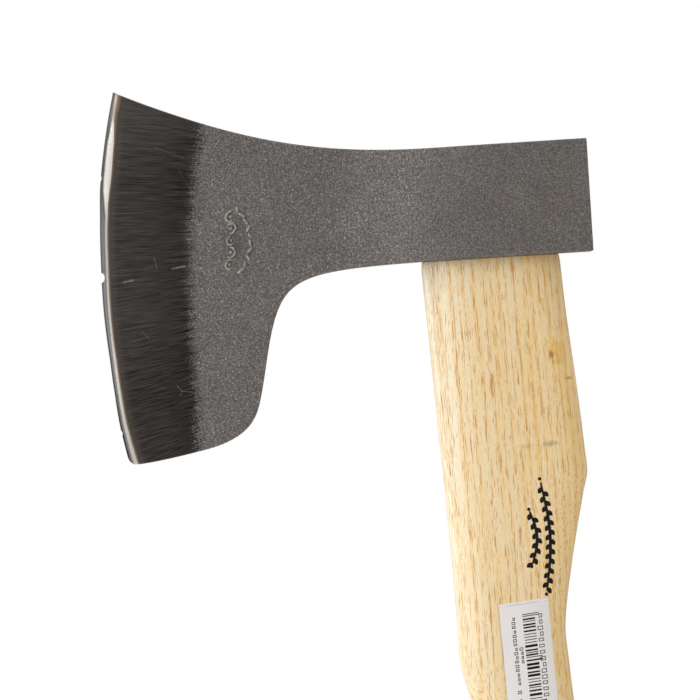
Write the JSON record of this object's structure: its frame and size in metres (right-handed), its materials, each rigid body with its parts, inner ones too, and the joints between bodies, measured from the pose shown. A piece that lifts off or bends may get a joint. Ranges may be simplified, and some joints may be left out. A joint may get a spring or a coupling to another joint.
{
  "type": "hatchet",
  "caption": "Bearded hatchet with a forged steel head, a flat square poll and a curved wooden handle with a flared butt, for limbing, splitting kindling and light felling.",
  "frame": {"origin": "middle of the hand grip, on the handle's centre line, 250 mm below the head's underside", "axes": "+Z from the grip up to the head and square to the head's top, +X from the cutting edge to the poll, +Y across the head"},
  "size_m": [0.1775, 0.039, 0.4835],
  "materials": {
    "forged_steel": "shot-blasted body, ground cheeks, honed edge",
    "ash_wood": "satin",
    "beech_wood": "matte",
    "wedge_steel": "satin",
    "label_paper": "satin",
    "black_ink": "matte"
  },
  "bodies": {
    "root": {"axe_head": "forged_steel", "handle": "ash_wood", "wooden_wedge": "beech_wood", "steel_wedges": "wedge_steel", "barcode_label": "label_paper"}
  },
  "joints": []
}
